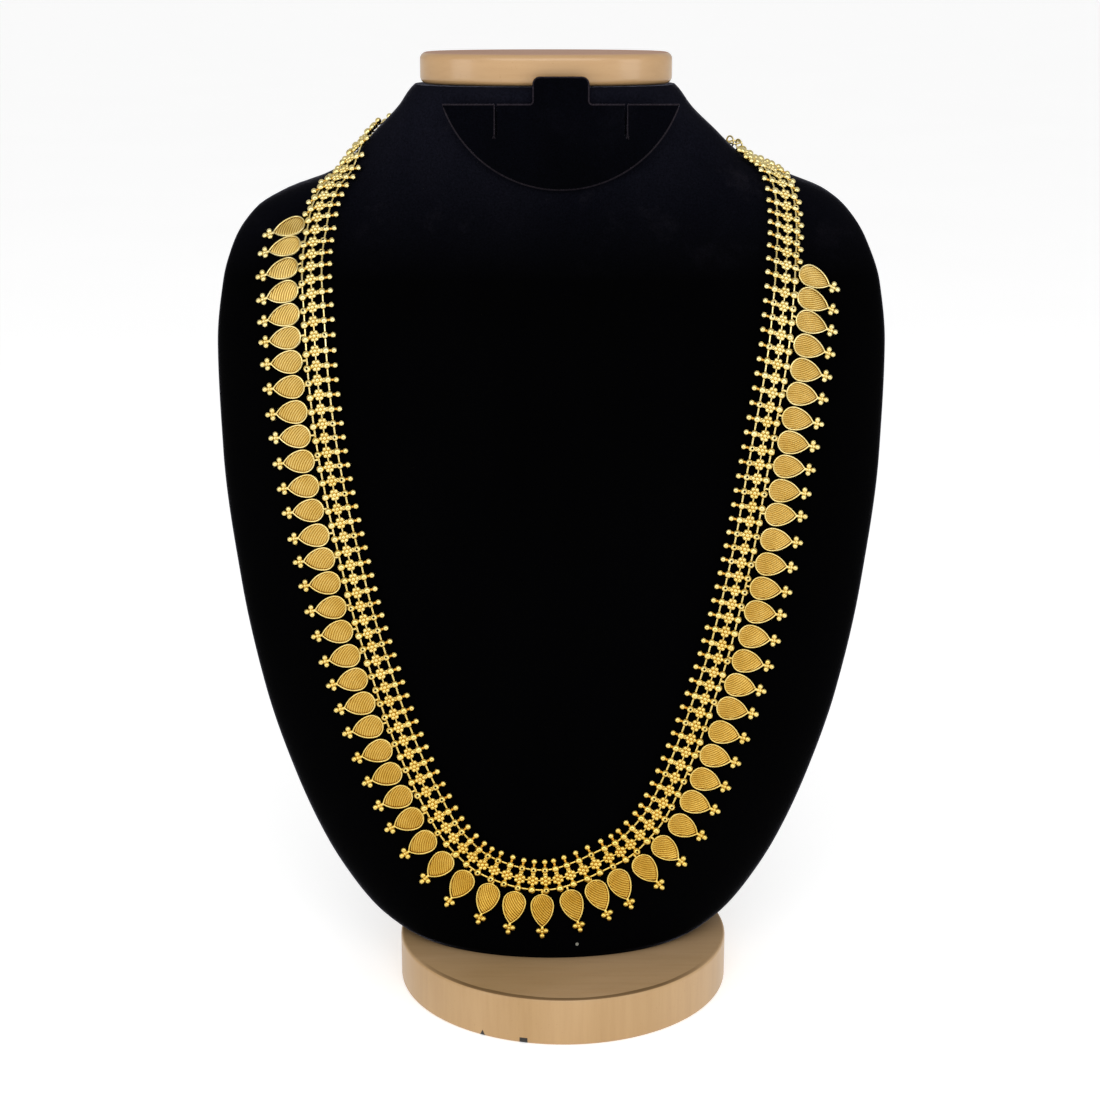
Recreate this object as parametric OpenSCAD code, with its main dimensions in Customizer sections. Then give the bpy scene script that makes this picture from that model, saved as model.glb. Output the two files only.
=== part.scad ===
/* [Base] */
// Diameter of the round wooden base
base_d = 125; // [115:1:140]
// Thickness of the base
base_h = 18; // [16:0.5:20]
// Rounding of the base's edges
base_round = 1.2; // [0.8:0.1:3]
// Diameter of the dowel between base and bust
post_d = 14; // [10:1:20]
// Depth of the dowel in the base
post_in_base = 11; // [6:1:14]
// Depth of the dowel in the bust
post_in_bust = 26; // [15:1:40]

/* [Neck] */
// Width of the oval cap on the neck
cap_w = 95.2; // [90:0.2:98]
// Depth of the cap, front to back
cap_depth = 49.6; // [44:0.2:52]
// Height of the cap
cap_h = 11.6; // [9:0.1:14]
// Rounding of the cap's edges
cap_round = 2.6; // [1:0.1:4]
// Width of the half-moon earring card
card_w = 87; // [80:1:92]
// Height of the half-moon, along the card
card_h = 31; // [28:0.5:33]
// Thickness of the card
card_t = 1.8; // [1.2:0.1:2.4]
// Width of the card's tab
tab_w = 20.4; // [16:0.2:24]
// Height of the tab above the half-moon
tab_h = 9.8; // [8:0.2:11]
// Length of each earring slit
slit_l = 11; // [8:0.5:14]

/* [Cross-bars] */
// Number of cross-bars along the band
bar_count = 129; // [123:1:130]
// Number of plain cross-bars at each end, with no leaf near them
plain_count = 12; // [10:1:13]
// Radius of the balls on the band's edges
edge_r = 1.05; // [0.9:0.05:1.15]
// Radius of the two domes on each bar
dome_r = 1.3; // [1.1:0.01:1.32]
// Radius of the balls in a flower
petal_r = 0.73; // [0.65:0.01:0.76]
// Distance of a flower's outer balls from its middle
petal_ring = 1.42; // [1.3:0.01:1.45]
// Radius of the wire that joins a bar's balls
stem_r = 0.45; // [0.35:0.05:0.6]

/* [Leaf drops] */
// Number of leaf drops
drop_count = 61; // [55:1:62]
// Width of a leaf
leaf_w = 8.5; // [7.6:0.1:8.6]
// Length of a leaf's pointed half
leaf_tip = 8.4; // [7:0.1:9]
// Width of a leaf's raised rim
rim_w = 0.7; // [0.5:0.05:1]
// Radius of the three balls under a leaf
trefoil_r = 0.9; // [0.7:0.05:1]
// Largest turn of a leaf to either side, in degrees
leaf_sway = 0.8; // [0:0.1:1]

/* [Back chain] */
// Radius of a ring, to the middle of its wire
ring_r = 2.1; // [2:0.05:2.2]
// Radius of a ring's wire
wire_r = 0.35; // [0.3:0.01:0.36]
// Length of the barrel clasp without its end rings
clasp_l = 13; // [11:0.5:15]
// Radius of the barrel clasp
clasp_r = 2.2; // [1.8:0.1:2.3]

/* [Hidden] */

$fn = 48;
gap = 0.15;                // between pieces that stand on each other
post_place = [-4.5, 4.5];    // where the dowel stands on the base

// Cross-sections of the bust, bottom to top. Each is a rounded oval, given by its
// height, half width, centre x, centre y, depth to the front, depth to the back and
// squareness, where 2 is an ellipse.
HEIGHT = 0;
HALF_W = 1;
MID_X = 2;
MID_Y = 3;
FRONT = 4;
BACK = 5;
SQUARE = 6;
sections = [
    [base_h + gap, 57, -4.5, 7.2, 35.5, 32, 2],
    [21.5, 62.5, -4.5, 7.7, 38, 34.2, 2],
    [27, 69.5, -4.5, 9, 38.5, 35, 2.05],
    [37, 78, -4.5, 11.3, 39.3, 36, 2.1],
    [52, 87.4, -4.5, 13.5, 38.5, 38, 2.2],
    [76, 98.2, -4.5, 16.1, 37, 41, 2.3],
    [110, 109.7, -4.5, 20.9, 35.5, 43, 2.4],
    [150, 118.5, -4.5, 27.5, 34, 43, 2.4],
    [200, 124.6, -4.5, 34, 32.5, 41, 2.4],
    [240, 125.8, -4.5, 39, 29.5, 37, 2.4],
    [261.8, 124, -4.5, 45.5, 26.5, 33, 2.4],
    [277.3, 119.7, -4.8, 55, 25.5, 26.5, 2.35],
    [287.9, 112.8, -4.5, 64.5, 28, 20.5, 2.3],
    [294.7, 102.5, -3, 70.5, 32, 17, 2.25],
    [299.7, 88.9, -2.3, 73.5, 34.8, 15.5, 2.25],
    [306.1, 75.8, -5.8, 72.5, 33.6, 17.5, 2.3],
    [317.7, 63.6, -6.6, 68, 28.8, 23.5, 2.4],
    [326, 55.3, -6.9, 66, 26.7, 26, 2.5],
    [332, 51, -7, 66, 26.6, 26, 2.5],
    [333.8, 49.2, -7, 66, 25, 24.4, 2.5]
];
last_row = len(sections) - 1;
bust_top = sections[last_row][HEIGHT];
rings_per_row = 2;
ring_points = 48;

// Places along a cross-bar, from the ball on the band's inner edge
inner_dome_at = 3.1;
flower_at = 7.15;
outer_dome_at = 10.65;
outer_ball = [12.9, 1.9];  // on plain bars, hangs a little below their line
bar_t = 2;                 // thickness of a bar
bar_lift = 1.6;            // bar's middle line above the velvet
bow = 0.8;                 // the bars on the upper left are bent up this far at the flower
bow_from = 125;            // between these lengths from the left end the bend fades
bow_to = 200;

// Degrees that bars and leaves hang down, against the length from the band's nearer end
bar_hang = [[0, 8], [25, 14], [60, 15], [80, 9], [140, 0]];
leaf_hang = [[0, 30], [60, 19], [80, 12], [110, 2], [150, -3], [220, -4], [300, 0]];

// Row of outer domes, from behind the neck on the left, down, and up to the right
outer_row = [
    [-64, 83, 308], [-69, 76.5, 308.5], [-75.5, 72.5, 309], [-79, 66, 305.5],
    [-85, 60, 301.5], [-91, 52, 294.5], [-94, 45.5, 288], [-95, 40, 282], [-96, 34.5, 273.5],
    [-96, 28, 264.5], [-94.5, 18.5, 246.5], [-93, 13, 227], [-90.5, 9, 206.5],
    [-87, 5, 186], [-82.5, 1.5, 165.5], [-77.5, -2.5, 144.5], [-71.5, -7, 125],
    [-65, -11.5, 105.5], [-57, -15.5, 86], [-47.5, -19.5, 67.5], [-41, -21.5, 59], [-33, -23.5, 52],
    [-24, -25, 48], [-14, -26, 45.5], [-3.5, -26.5, 45.5], [6.5, -25.5, 48.5],
    [15.5, -24, 52.5], [24.5, -22.5, 57], [32, -21, 64], [38.5, -19, 72.5],
    [47.5, -15, 92], [54.5, -11, 111], [61, -6, 131], [66, -2, 151], [70.5, 2, 172],
    [74, 5.5, 193], [77.5, 9, 213], [81, 13.5, 233], [83.5, 20, 251.5], [85.5, 30.5, 270],
    [86.5, 38.5, 279.5], [86.5, 45.5, 287], [85, 53.5, 294], [81.5, 62.5, 299], [76.5, 68, 303],
    [71, 71, 306.5]
];

// Way of the chain across the back of the neck, between the two ends of the band
back_points = [
    [-51, 88, 311], [-39, 91, 312.5], [-24, 92.5, 312.5], [-5, 93, 311.5],
    [15, 92, 309], [37, 86, 310], [55, 82.5, 304.5], [60.5, 76, 305.5]
];

leaf_from_dome = 5.75;     // outer dome to the middle of a leaf's round half
plate_t = 0.55;
rim_t = 1;
leaf_lift = 1.1;           // leaf's middle plane above the velvet
trefoil_at = 1.3;          // side balls past the tip
trefoil_side = 1.4;
trefoil_end = 3.2;         // end ball past the tip
web_r = 1.7;               // little plate that the three balls sit on

loop_r = 1.5;              // ring soldered to the last flower at each end
loop_at = 3;
loop_to_ring = 2.45;
ring_pitch = 3.1;          // longest step from ring to ring
ring_lift = 2.1;
ring_turn = 45;            // rings lie turned this far to either side
clasp_neck = 1.1;          // clasp's end to the middle of its end ring

// Bust surface

function unit(v) = v / norm(v);
function rise(i) = (sections[i + 1] - sections[i]) / (sections[i + 1][HEIGHT] - sections[i][HEIGHT]);
function gentler(a, b) = a * b <= 0 ? 0 : 2 * a * b / (a + b);

row_numbers = [for (i = [0 : last_row]) [sections[i][HEIGHT], i]];
slopes = [for (i = [0 : last_row])
    i == 0 ? rise(0)
    : i == last_row ? rise(i - 1)
    : [for (k = [HEIGHT : SQUARE]) gentler(rise(i - 1)[k], rise(i)[k])]];

// Cross-section at a height, blended smoothly between the rows of the table
function section(z) =
    let (u = lookup(z, row_numbers), i = min(floor(u), last_row - 1), t = u - i)
    let (step = sections[i + 1][HEIGHT] - sections[i][HEIGHT])
    (2 * t ^ 3 - 3 * t ^ 2 + 1) * sections[i]
    + (t ^ 3 - 2 * t ^ 2 + t) * step * slopes[i]
    + (3 * t ^ 2 - 2 * t ^ 3) * sections[i + 1]
    + (t ^ 3 - t ^ 2) * step * slopes[i + 1];

// 1 on the bust's surface, less inside it and more outside
function fill(p) =
    let (s = section(p.z), depth = p.y < s[MID_Y] ? s[FRONT] : s[BACK], n = s[SQUARE])
    (abs((p.x - s[MID_X]) / s[HALF_W]) ^ n + abs((p.y - s[MID_Y]) / depth) ^ n) ^ (1 / n);
function steepest(p, d = 0.02) =
    [for (v = [[d, 0, 0], [0, d, 0], [0, 0, d]]) (fill(p + v) - fill(p - v)) / (2 * d)];
function nearer(p) = let (g = steepest(p)) p - g * (fill(p) - 1) / (g * g);
function on_bust(p) = nearer(nearer(nearer(p)));
function off_velvet(p) = unit(steepest(p));
function depth_below(p) = (1 - fill(p)) / norm(steepest(p));

// Lines along the surface

function point(line, i) = line[min(max(i, 0), len(line) - 1)];
function curve(line, i, t) =
    let (a = point(line, i - 1), b = point(line, i), c = point(line, i + 1), d = point(line, i + 2))
    b + t / 2 * (c - a + t * (2 * a - 5 * b + 4 * c - d + t * (3 * b - a - 3 * c + d)));
function smooth(line, steps = 8) = concat(
    [for (i = [0 : len(line) - 2], k = [0 : steps - 1]) on_bust(curve(line, i, k / steps))],
    [on_bust(line[len(line) - 1])]);
function lengths(line) =
    [for (i = 0, s = 0; i < len(line); s = s + norm(point(line, i + 1) - line[i]), i = i + 1) s];

// A track holds x, y and z of a line, each against the length along it
function track(line) =
    let (marks = lengths(line))
    [for (axis = [0 : 2]) [for (i = [0 : len(line) - 1]) [marks[i], line[i][axis]]]];
function track_length(way) = way[0][len(way[0]) - 1][0];
function spot(way, s) = [for (axis = [0 : 2]) lookup(s, way[axis])];
function ahead(way, s, reach = 3) = unit(spot(way, s + reach) - spot(way, s - reach));

// Matrix that puts a shape's origin at o, its x along out and its z off the velvet
function frame(o, out, off) =
    let (z = unit(off - out * (off * out)), y = cross(z, out))
    [[out.x, y.x, z.x, o.x], [out.y, y.y, z.y, o.y], [out.z, y.z, z.z, o.z], [0, 0, 0, 1]];

// Frame of a straight piece that lies across the band at length s along the outer row.
// It touches the surface from places a to b, measured outward from that row, and its
// origin lies at place o.
function lying(s, a, b, o, lift, turn) =
    let (root = spot(row, s), off = off_velvet(root), side = unit(cross(ahead(row, s), off)))
    let (out = side * cos(turn) + cross(off, side) * sin(turn))
    let (from = on_bust(root + a * out), to = on_bust(root + b * out))
    let (along = unit(to - from), up = off_velvet((from + to) / 2))
    let (sunk = [for (t = [0.35, 0.5, 0.65]) depth_below(from + t * (to - from))])
    let (rise = lift + max(0, sunk[0], sunk[1], sunk[2]))
    frame(from + (o - a) * along + rise * up, along, up);

row = track(smooth(outer_row));
row_length = track_length(row);
function bar_s(i) = i * row_length / (bar_count - 1);
function is_plain(i) = i < plain_count || i > bar_count - 1 - plain_count;
function is_left(s) = s < row_length / 2;
function hang(s, angles) = is_left(s) ? lookup(s, angles) : -lookup(row_length - s, angles);
function bow_at(s) = bow * min(1, max(0, (bow_to - s) / (bow_to - bow_from)));
function bar_frame(i) =
    lying(bar_s(i), -outer_dome_at, is_plain(i) ? outer_ball.x - outer_dome_at : 0,
        -outer_dome_at, bar_lift, hang(bar_s(i), bar_hang));
function drop_s(k) =
    bar_s(plain_count + k * (bar_count - 1 - 2 * plain_count) / (drop_count - 1));
function drop_frame(k) =
    lying(drop_s(k), leaf_from_dome, leaf_from_dome + leaf_tip + trefoil_end, leaf_from_dome,
        leaf_lift, hang(drop_s(k), leaf_hang) + leaf_sway * sin(137 * k * k));

// Small shapes

module placed(m) multmatrix(m) children();

module right_half(h) intersection() {
    children();
    translate([0, -h]) square([h, 3 * h]);
}

module wire_ring(r) rotate_extrude() translate([r, 0]) circle(wire_r);

// Rounded oval ring of points, set in from the edge by the given amount
function oval(s, z, inset = 0) = [for (j = [0 : ring_points - 1])
    let (a = 360 * j / ring_points, power = 2 / s[SQUARE])
    let (depth = sin(a) < 0 ? s[FRONT] : s[BACK])
    [s[MID_X] + (s[HALF_W] - inset) * sign(cos(a)) * abs(cos(a)) ^ power,
     s[MID_Y] + (depth - inset) * sign(sin(a)) * abs(sin(a)) ^ power, z]];

// Solid through a stack of rings with the same number of points
module stack(rings) {
    n = len(rings[0]);
    top = (len(rings) - 1) * n;
    sides = [for (i = [0 : len(rings) - 2], j = [0 : n - 1])
        let (a = i * n + j, b = i * n + (j + 1) % n)
        each [[a, a + n, b + n], [a, b + n, b]]];
    polyhedron(
        [for (ring = rings) each ring],
        concat(sides, [[for (j = [0 : n - 1]) j]], [[for (j = [n - 1 : -1 : 0]) top + j]]),
        convexity = 6);
}

// Base and bust

module post_hole(z, h) translate([post_place.x, post_place.y, z]) cylinder(d = post_d + 2 * gap, h = h);

module base_disc() color("#c49a64") difference() {
    rotate_extrude() {
        square([base_d / 2 - base_round, base_h]);
        translate([0, base_round]) square([base_d / 2, base_h - 2 * base_round]);
        for (z = [base_round, base_h - base_round])
            translate([base_d / 2 - base_round, z]) circle(base_round);
    }
    post_hole(base_h - post_in_base, post_in_base + 1);
}

module base_post() color("#d8b483")
    translate([post_place.x, post_place.y, base_h - post_in_base + gap])
        cylinder(d = post_d, h = post_in_base + post_in_bust - gap);

module bust_body() color("#15141a") difference() {
    stack([
        for (i = [0 : last_row - 1], k = [0 : rings_per_row - 1])
            let (z = sections[i][HEIGHT] * (1 - k / rings_per_row)
                + sections[i + 1][HEIGHT] * k / rings_per_row)
            oval(section(z), z),
        oval(sections[last_row], bust_top)]);
    post_hole(base_h - 1, post_in_bust + 1 + 2 * gap);
}

module neck_cap() color("#c9977c") {
    plan = [0, cap_w / 2, -6.5, 66.3, cap_depth / 2, cap_depth / 2, 2.3];
    low = bust_top + gap;
    bend = [for (a = [-90 : 22.5 : 0]) a];
    stack(concat(
        [for (a = bend) oval(plan, low + cap_round * (1 + sin(a)), cap_round * (1 - cos(a)))],
        [for (a = bend) oval(plan, low + cap_h - cap_round * (1 + sin(-90 - a)),
            cap_round * (1 - cos(-90 - a)))]));
}

// Half-moon with its straight edge on the x axis, a tab above it and two slits
module card_outline() {
    moon_r = (card_w ^ 2 / 4 + card_h ^ 2) / card_h / 2;
    tab_round = 2.5;
    difference() {
        intersection() {
            translate([0, moon_r - card_h]) circle(moon_r, $fn = 120);
            translate([-card_w, -card_w]) square([2 * card_w, card_w]);
        }
        for (x = [-24, 24]) translate([x - 0.5, -slit_l]) square([1, slit_l + 1]);
    }
    translate([-tab_w / 2, -1]) square([tab_w, tab_h + 1 - tab_round]);
    translate([-tab_w / 2 + tab_round, 0]) square([tab_w - 2 * tab_round, tab_h]);
    for (side = [-1, 1]) {
        translate([side * (tab_w / 2 - tab_round), tab_h - tab_round]) circle(tab_round);
        difference() {
            translate([side * (tab_w / 2 + 0.5) - 0.9, -0.4]) square([1.8, 1.8]);
            translate([side * (tab_w / 2 + 1.4), 1.4]) circle(1.4);
        }
    }
}

module earring_card() color("#101015") {
    foot_z = 299;
    head_z = 331;
    neck_x = -1;
    foot = on_bust([neck_x, 26.5, foot_z]);
    head = on_bust([neck_x, 36.5, head_z]);
    lean = atan((head.y - foot.y) / (head.z - foot.z));
    moon_top = 327.7;
    translate([neck_x, foot.y - gap, foot_z]) rotate([90 - lean, 0, 0])
        translate([0, (moon_top - foot_z) / cos(lean), 0]) linear_extrude(card_t) card_outline();
}

// Band

module flower_outline() {
    circle(petal_r + 0.05);
    for (a = [0 : 60 : 300]) rotate(a) translate([petal_ring, 0]) circle(petal_r);
}

module stem(a, b) translate(a) rotate(atan2(b.y - a.y, b.x - a.x))
    translate([0, -stem_r]) square([norm(b - a), 2 * stem_r]);

// Bar with its y axis hanging down where down is 1 and rising where it is -1
module bar_outline(plain, down, bent) {
    inner = [inner_dome_at, -down * bent * inner_dome_at / flower_at];
    flower = [flower_at, -down * bent];
    outer = [outer_dome_at, 0];
    end = [outer_ball.x, down * outer_ball.y];
    circle(edge_r);
    for (p = [inner, outer]) translate(p) circle(dome_r);
    translate(flower) flower_outline();
    stem([0, 0], flower);
    stem(flower, outer);
    if (plain) {
        stem(outer, end);
        translate(end) circle(edge_r);
    }
}

module band(from, to) for (i = [from : to])
    placed(bar_frame(i)) translate([0, 0, -bar_t / 2]) linear_extrude(bar_t)
        bar_outline(is_plain(i), is_left(bar_s(i)) ? 1 : -1, bow_at(bar_s(i)));

// Leaves

module leaf_outline(inset) {
    arc_r = (leaf_tip ^ 2 + (leaf_w / 2) ^ 2) / leaf_w;
    circle(leaf_w / 2 - inset);
    intersection() {
        intersection_for (side = [-1, 1])
            translate([0, side * (arc_r - leaf_w / 2)]) circle(arc_r - inset, $fn = 96);
        translate([0, -leaf_w]) square([2 * leaf_w, 2 * leaf_w]);
    }
}

module drop_outline() {
    leaf_outline(0);
    translate([leaf_tip + trefoil_at, 0]) circle(web_r);
    for (side = [-1, 1]) translate([leaf_tip + trefoil_at, side * trefoil_side]) circle(trefoil_r);
    translate([leaf_tip + trefoil_end, 0]) circle(trefoil_r);
}

module leaf_drop() translate([0, 0, -rim_t / 2]) difference() {
    linear_extrude(rim_t) drop_outline();
    translate([0, 0, plate_t]) linear_extrude(rim_t) leaf_outline(rim_w);
}

module leaves(from, to) color("#dcae42") for (k = [from : to]) placed(drop_frame(k)) leaf_drop();

// Chain across the back

function flower_spot(i) =
    let (m = bar_frame(i), up = is_left(bar_s(i)) ? -bow_at(bar_s(i)) : 0)
    on_bust([for (k = [0 : 2]) m[k][3] + flower_at * m[k][0] + up * m[k][1]]);
back = track(smooth(concat([flower_spot(0)], back_points, [flower_spot(bar_count - 1)])));
back_length = track_length(back);
clasp_half = clasp_l / 2 + clasp_neck;
half_run = back_length / 2 - loop_at - 2 * loop_to_ring - clasp_half;
ring_steps = 2 * ceil(half_run / ring_pitch / 2);

// Frame of a ring at length s, its x along the chain, turned about it
function back_frame(s, lift) =
    let (p = spot(back, s), off = off_velvet(p))
    frame(p + lift * off, ahead(back, s), off);

module chain_piece(s, lift, turn) placed(back_frame(s, lift)) rotate([turn, 0, 0]) children();

module end_loop(s) chain_piece(s, bar_lift + 0.1, ring_turn) wire_ring(loop_r);

module back_chain() color("#e0b64c") for (side = [0, 1], k = [0 : ring_steps]) {
    s = loop_at + loop_to_ring + k * half_run / ring_steps;
    chain_piece(side == 0 ? s : back_length - s, ring_lift, k % 2 == 0 ? -ring_turn : ring_turn)
        wire_ring(ring_r);
}

module clasp() color("#e0b64c") {
    middle = back_length / 2;
    chain_piece(middle, clasp_r + gap, 0) {
        translate([-clasp_l / 2, 0, 0]) rotate([0, 90, 0]) rotate_extrude() right_half(clasp_l) {
            square([clasp_r - 0.5, clasp_l]);
            translate([0, 0.8]) square([clasp_r, clasp_l - 1.6]);
            translate([0, -0.4]) square([0.8, clasp_l + 0.8]);
        }
        for (side = [-1, 1]) translate([side * clasp_half, 0, 0])
            rotate([ring_turn, 0, 0]) wire_ring(loop_r);
    }
}

half_bars = floor(bar_count / 2);
half_drops = floor(drop_count / 2);

base_disc();
base_post();
bust_body();
neck_cap();
earring_card();
color("#e9bf55") {  // band_left
    band(0, half_bars);
    end_loop(loop_at);
}
color("#e9bf55") {  // band_right
    band(half_bars + 1, bar_count - 1);
    end_loop(back_length - loop_at);
}
leaves(0, half_drops);  // leaves_left
leaves(half_drops + 1, drop_count - 1);  // leaves_right
back_chain();
clasp();
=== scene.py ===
import math

import bpy
import numpy as np
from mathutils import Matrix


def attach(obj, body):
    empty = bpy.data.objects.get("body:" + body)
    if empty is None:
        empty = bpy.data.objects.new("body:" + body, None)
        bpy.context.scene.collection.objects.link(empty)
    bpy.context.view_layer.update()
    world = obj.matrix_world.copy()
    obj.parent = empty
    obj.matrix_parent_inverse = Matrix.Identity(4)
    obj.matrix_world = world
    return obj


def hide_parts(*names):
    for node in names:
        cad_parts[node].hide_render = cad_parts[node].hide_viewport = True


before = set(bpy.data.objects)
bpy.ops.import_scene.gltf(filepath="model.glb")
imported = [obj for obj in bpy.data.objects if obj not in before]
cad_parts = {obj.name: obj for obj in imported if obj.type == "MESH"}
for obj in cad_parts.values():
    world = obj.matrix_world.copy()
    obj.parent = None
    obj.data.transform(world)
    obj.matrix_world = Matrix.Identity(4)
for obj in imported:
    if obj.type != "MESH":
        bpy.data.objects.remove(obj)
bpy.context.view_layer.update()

dice = np.random.default_rng(23)
mm = 0.001  # all shapes below are worked out in millimetres

print("camera, floor and lights")

cameraLook = {
    "lens": 70.36,
    "place": (-5, -765.3, 378.2),
    "pitch": 15.3,  # degrees down
}
studioLook = {
    "world": 0.62,
    "floor": (0.95, 0.95, 0.95, 1),
    "glow": 0.37,  # the floor is lit from beneath, as a light table is
    "boxes": [  # place, aim, width, height, power
        ((0, -1250, 1150), (0, 20, 200), 1300, 800, 9),
        ((-1000, -900, 500), (0, 20, 200), 500, 900, 3.5),
        ((1000, -900, 500), (0, 20, 200), 500, 900, 3.5),
    ],
}


def lookAlong(item, place, aim):
    way = np.array(aim, float) - np.array(place, float)
    item.location = [v * mm for v in place]
    tilt, turn = math.atan2(math.hypot(way[0], way[1]), -way[2]), math.atan2(way[1], way[0])
    item.rotation_euler = (tilt, 0, turn - math.pi / 2)


def makeCamera():
    lens = bpy.data.cameras.new("photoCamera")
    lens.lens = cameraLook["lens"]
    lens.sensor_width = 36
    lens.clip_end = 200  # metres
    camera = bpy.data.objects.new("photoCamera", lens)
    camera.location = [v * mm for v in cameraLook["place"]]
    camera.rotation_euler = (math.radians(90 - cameraLook["pitch"]), 0, 0)
    bpy.context.collection.objects.link(camera)
    bpy.context.scene.camera = camera


def makeLights():
    world = bpy.data.worlds.new("studio")
    bpy.context.scene.world = world
    world.use_nodes = True
    world.node_tree.nodes["Background"].inputs["Color"].default_value = (1, 1, 1, 1)
    world.node_tree.nodes["Background"].inputs["Strength"].default_value = studioLook["world"]
    for number, (place, aim, width, height, power) in enumerate(studioLook["boxes"]):
        box = bpy.data.lights.new(f"softBox{number}", "AREA")
        box.shape = "RECTANGLE"
        box.size, box.size_y = width * mm, height * mm
        box.energy = power
        item = bpy.data.objects.new(box.name, box)
        item.visible_camera = False
        lookAlong(item, place, aim)
        bpy.context.collection.objects.link(item)


# Node helpers

def startMaterial(name, settings):
    material = bpy.data.materials.new(name)
    material.use_nodes = True
    shader = material.node_tree.nodes["Principled BSDF"]
    for label, value in settings.items():
        shader.inputs[label].default_value = value
    return material, shader


def addNode(material, kind, inputs=None, **traits):
    tree = material.node_tree
    node = tree.nodes.new(kind)
    for label, value in traits.items():
        setattr(node, label, value)
    for label, value in (inputs or {}).items():
        if isinstance(value, bpy.types.NodeSocket):
            tree.links.new(value, node.inputs[label])
        else:
            node.inputs[label].default_value = value
    return node


def addNoise(material, where, scale, detail=3, rough=0.5, stretch=None):
    if stretch:
        where = addNode(material, "ShaderNodeMapping", {"Vector": where, "Scale": stretch}).outputs["Vector"]
    return addNode(material, "ShaderNodeTexNoise", {
        "Vector": where, "Scale": scale, "Detail": detail, "Roughness": rough}).outputs["Fac"]


def addSpots(material, where, scale, size):
    cells = addNode(material, "ShaderNodeTexVoronoi", {"Vector": where, "Scale": scale})
    return addMath(material, "LESS_THAN", cells.outputs["Distance"], size)


def addSpan(material, value, low, high, least=0.0, most=1.0):  # from low to high it goes from least to most
    node = addNode(material, "ShaderNodeMapRange", {
        "Value": value, "From Min": low, "From Max": high, "To Min": least, "To Max": most})
    return node.outputs["Result"]


def addRamp(material, factor, stops):
    node = addNode(material, "ShaderNodeValToRGB", {"Fac": factor})
    ramp = node.color_ramp
    while len(ramp.elements) < len(stops):
        ramp.elements.new(0.5)
    for element, (place, colour) in zip(ramp.elements, stops):
        element.position = place
        element.color = colour if len(colour) == 4 else (*colour, 1)
    return node.outputs["Color"]


def addMix(material, factor, a, b, kind="MIX"):
    node = addNode(material, "ShaderNodeMix", data_type="RGBA", blend_type=kind)
    for place, value in ((0, factor), (6, a), (7, b)):
        if isinstance(value, bpy.types.NodeSocket):
            material.node_tree.links.new(value, node.inputs[place])
        else:
            node.inputs[place].default_value = value
    return node.outputs[2]


def addMath(material, kind, a, b=0.0):
    node = addNode(material, "ShaderNodeMath", operation=kind)
    for place, value in enumerate((a, b)):
        if isinstance(value, bpy.types.NodeSocket):
            material.node_tree.links.new(value, node.inputs[place])
        else:
            node.inputs[place].default_value = value
    return node.outputs[0]


def addBump(material, shader, height, strength, distance):
    bump = addNode(material, "ShaderNodeBump", {"Height": height, "Strength": strength, "Distance": distance})
    material.node_tree.links.new(bump.outputs["Normal"], shader.inputs["Normal"])


def objectPlace(material):
    return addNode(material, "ShaderNodeTexCoord").outputs["Object"]


def feed(material, source, shader, label):
    material.node_tree.links.new(source, shader.inputs[label])


# Materials

def velvetMaterial(name, look):
    material, shader = startMaterial(name, {
        "Roughness": 1.0, "Specular IOR Level": 0.02, "Sheen Weight": look["sheen"],
        "Sheen Roughness": look["sheenRough"], "Sheen Tint": look["sheenTint"]})
    where = objectPlace(material)
    brushed = addNoise(material, where, 16, 5, 0.6, (1, 1, 0.45))
    colour = addRamp(material, brushed, [(0.3, look["pile"]), (0.75, look["worn"])])
    # Above a given height the velvet turns a lighter bluish tone towards the neck: painted sheen, with the
    # brushed variation still in it.
    height = addNode(material, "ShaderNodeSeparateXYZ", {"Vector": where}).outputs["Z"]
    paintedLightByHeight = addSpan(material, height, look["paintedSheenFrom"] * mm, look["paintedSheenTo"] * mm)
    neck = addRamp(material, brushed, [(0.3, look["neck"]), (0.75, look["neckWornAndSheen"])])
    colour = addMix(material, paintedLightByHeight, colour, neck)
    # Patches of dust and painted sheen, on the upper part only.
    clouds = addNoise(material, where, 48, 4, 0.65)
    dustAndSheenPatches = addRamp(material, clouds, [(0.56, (0, 0, 0)), (0.72, (0.5, 0.5, 0.5))])
    dustAndSheenPatches = addMath(material, "MULTIPLY", paintedLightByHeight, dustAndSheenPatches)
    colour = addMix(material, dustAndSheenPatches, colour, look["dustAndSheen"])
    pile = addNoise(material, where, 1400, 2, 0.7)
    fleck = addRamp(material, pile, [(0.3, (0.3, 0.3, 0.3)), (0.75, (1, 1, 1))])
    colour = addMix(material, 0.8, colour, fleck, "MULTIPLY")
    speck = addSpots(material, where, look["lintScale"], look["lintSize"])
    colour = addMix(material, speck, colour, look["lint"])
    for (x, y, z), reach in look["fluff"]:  # bits of fluff at given places
        spot = (x * mm, y * mm, z * mm)
        away = addNode(material, "ShaderNodeVectorMath", {0: where, 1: spot}, operation="DISTANCE")
        near = addMath(material, "LESS_THAN", away.outputs["Value"], reach * mm)
        colour = addMix(material, near, colour, look["fluffTone"])
    feed(material, colour, shader, "Base Color")
    addBump(material, shader, pile, 0.5, 0.0003)
    return material


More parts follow.
